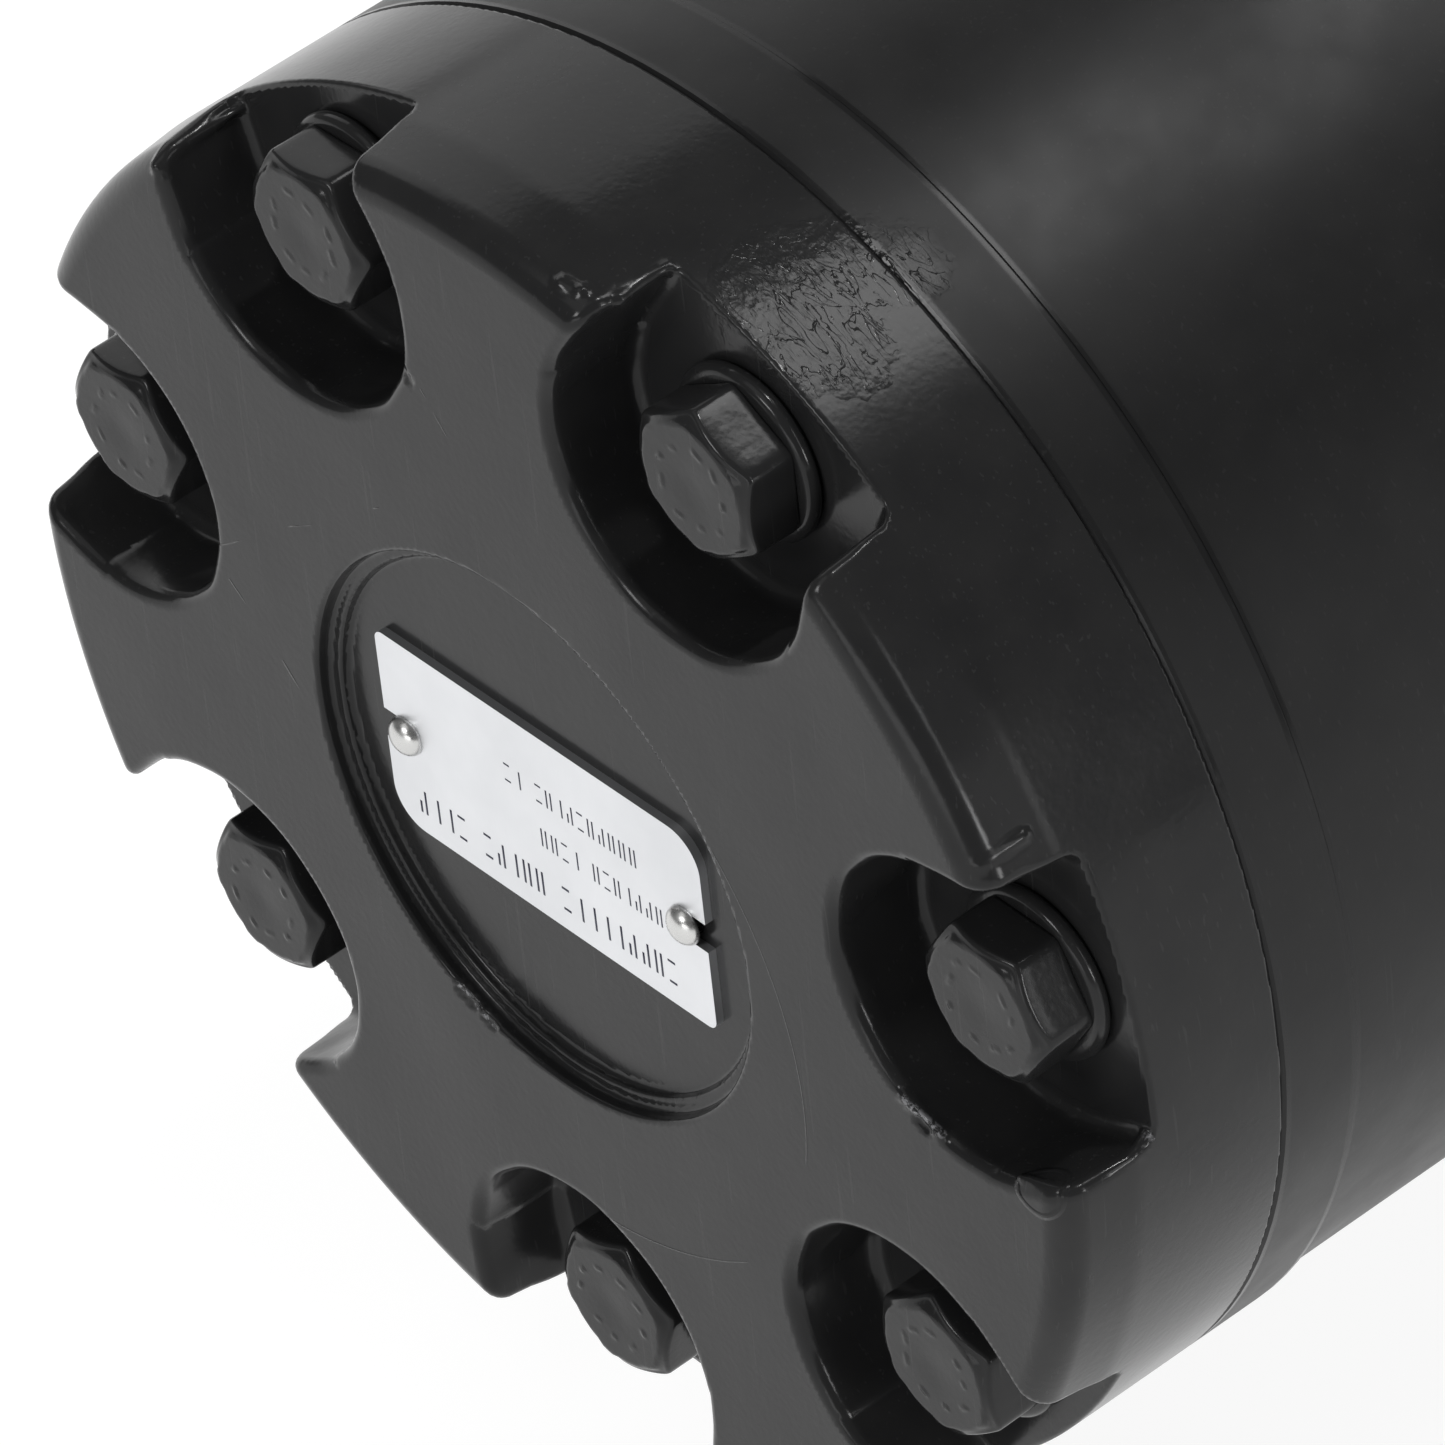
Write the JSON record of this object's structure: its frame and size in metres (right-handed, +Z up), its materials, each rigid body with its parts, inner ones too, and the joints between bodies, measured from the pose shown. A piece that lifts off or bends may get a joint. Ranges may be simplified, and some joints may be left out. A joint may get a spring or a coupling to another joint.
{
  "type": "hydraulic orbit motor",
  "caption": "Black-painted orbital hydraulic motor: round bolted end cover with scalloped bolt pockets and a riveted plate, stacked rings, ported housing, square flange and splined shaft.",
  "frame": {"origin": "centre of the mounting face of the flange, on the shaft axis", "axes": "+X along the shaft axis, out of the shaft end; +Z up, towards the port face; +Y to the side of port A"},
  "size_m": [0.2633, 0.145, 0.1485],
  "materials": {
    "black_paint": "satin black paint on cast iron and steel, with fine orange peel",
    "bolt_black": "steel fasteners painted over with the same satin black",
    "plate_aluminium": "silver sheet with a fine satin grain and dark printed lines",
    "rivet_steel": "bright domed drive rivets",
    "seal_rubber": "matt black nitrile rubber",
    "spring_steel": "oiled spring steel",
    "bright_steel": "ground bright steel"
  },
  "bodies": {
    "casing": {"end_cover": "black_paint", "valve_plate": "black_paint", "gear_ring": "black_paint", "wear_plate": "black_paint", "front_housing": "black_paint", "mounting_flange": "black_paint", "cover_bolts": "bolt_black", "bolt_washers": "bolt_black", "flange_screws": "bolt_black", "nameplate": "plate_aluminium", "nameplate_rivets": "rivet_steel", "cover_o_ring": "seal_rubber", "valve_plate_o_ring": "seal_rubber", "wear_plate_o_ring": "seal_rubber", "housing_o_ring": "seal_rubber", "flange_o_ring": "seal_rubber", "balance_ring_seal": "seal_rubber", "shaft_seal": "seal_rubber", "dust_seal": "seal_rubber", "seal_spring": "spring_steel", "seal_retaining_ring": "spring_steel", "disc_spring": "spring_steel", "dowel_pins": "bright_steel", "front_bearing_cup": "bright_steel", "rear_bearing_cup": "bright_steel", "balance_ring": "bright_steel"},
    "shaft": {"output_shaft": "bright_steel", "front_bearing_cone": "bright_steel", "rear_bearing_cone": "bright_steel", "bearing_nut": "bright_steel"},
    "front_bearing_set": {"front_bearing_rollers": "bright_steel", "front_bearing_cage": "bright_steel"},
    "rear_bearing_set": {"rear_bearing_rollers": "bright_steel", "rear_bearing_cage": "bright_steel"},
    "orbit": {"drive_spacer": "bright_steel"},
    "rotor": {"rotor": "bright_steel"},
    "drive_link": {"drive_link": "bright_steel"},
    "valve_drive_link": {"valve_drive_link": "bright_steel"},
    "disc_valve": {"disc_valve": "bright_steel"},
    "ring_roller_1": {"ring_roller_1": "bright_steel"},
    "ring_roller_2": {"ring_roller_2": "bright_steel"},
    "ring_roller_3": {"ring_roller_3": "bright_steel"},
    "ring_roller_4": {"ring_roller_4": "bright_steel"},
    "ring_roller_5": {"ring_roller_5": "bright_steel"},
    "ring_roller_6": {"ring_roller_6": "bright_steel"},
    "ring_roller_7": {"ring_roller_7": "bright_steel"}
  },
  "joints": [
    {"name": "shaft_spin", "type": "hinge", "parent": "casing", "child": "shaft", "pos_m": [0, 0, 0], "axis": [1, 0, 0], "continuous": true},
    {"name": "front_bearing_spin", "type": "hinge", "parent": "casing", "child": "front_bearing_set", "pos_m": [-0.035, 0, 0], "axis": [1, 0, 0], "continuous": true},
    {"name": "rear_bearing_spin", "type": "hinge", "parent": "casing", "child": "rear_bearing_set", "pos_m": [-0.081, 0, 0], "axis": [1, 0, 0], "continuous": true},
    {"name": "rotor_orbit", "type": "hinge", "parent": "casing", "child": "orbit", "pos_m": [-0.1345, 0, 0], "axis": [1, 0, 0], "continuous": true},
    {"name": "rotor_spin", "type": "hinge", "parent": "orbit", "child": "rotor", "pos_m": [-0.1345, 0.0035, 0], "axis": [1, 0, 0], "continuous": true},
    {"name": "drive_link_spin", "type": "hinge", "parent": "orbit", "child": "drive_link", "pos_m": [-0.054, 0, 0], "axis": [0.9988, -0.0499, 0], "continuous": true},
    {"name": "valve_drive_spin", "type": "hinge", "parent": "orbit", "child": "valve_drive_link", "pos_m": [-0.174, 0, 0], "axis": [0.9937, 0.1122, 0], "continuous": true},
    {"name": "disc_valve_spin", "type": "hinge", "parent": "casing", "child": "disc_valve", "pos_m": [-0.174, 0, 0], "axis": [1, 0, 0], "continuous": true},
    {"name": "ring_roller_1_spin", "type": "hinge", "parent": "casing", "child": "ring_roller_1", "pos_m": [-0.1345, 0.02971, 0.02369], "axis": [1, 0, 0], "continuous": true},
    {"name": "ring_roller_2_spin", "type": "hinge", "parent": "casing", "child": "ring_roller_2", "pos_m": [-0.1345, 0, 0.038], "axis": [1, 0, 0], "continuous": true},
    {"name": "ring_roller_3_spin", "type": "hinge", "parent": "casing", "child": "ring_roller_3", "pos_m": [-0.1345, -0.02971, 0.02369], "axis": [1, 0, 0], "continuous": true},
    {"name": "ring_roller_4_spin", "type": "hinge", "parent": "casing", "child": "ring_roller_4", "pos_m": [-0.1345, -0.03705, -0.00846], "axis": [1, 0, 0], "continuous": true},
    {"name": "ring_roller_5_spin", "type": "hinge", "parent": "casing", "child": "ring_roller_5", "pos_m": [-0.1345, -0.01649, -0.03424], "axis": [1, 0, 0], "continuous": true},
    {"name": "ring_roller_6_spin", "type": "hinge", "parent": "casing", "child": "ring_roller_6", "pos_m": [-0.1345, 0.01649, -0.03424], "axis": [1, 0, 0], "continuous": true},
    {"name": "ring_roller_7_spin", "type": "hinge", "parent": "casing", "child": "ring_roller_7", "pos_m": [-0.1345, 0.03705, -0.00846], "axis": [1, 0, 0], "continuous": true}
  ],
  "couplings": [
    {"joint": "front_bearing_spin", "follows": "shaft_spin", "ratio": 0.4434},
    {"joint": "rear_bearing_spin", "follows": "shaft_spin", "ratio": 0.4434},
    {"joint": "rotor_orbit", "follows": "shaft_spin", "ratio": -6},
    {"joint": "rotor_spin", "follows": "shaft_spin", "ratio": 7},
    {"joint": "drive_link_spin", "follows": "shaft_spin", "ratio": 7},
    {"joint": "valve_drive_spin", "follows": "shaft_spin", "ratio": 7},
    {"joint": "disc_valve_spin", "follows": "shaft_spin", "ratio": 1}
  ]
}
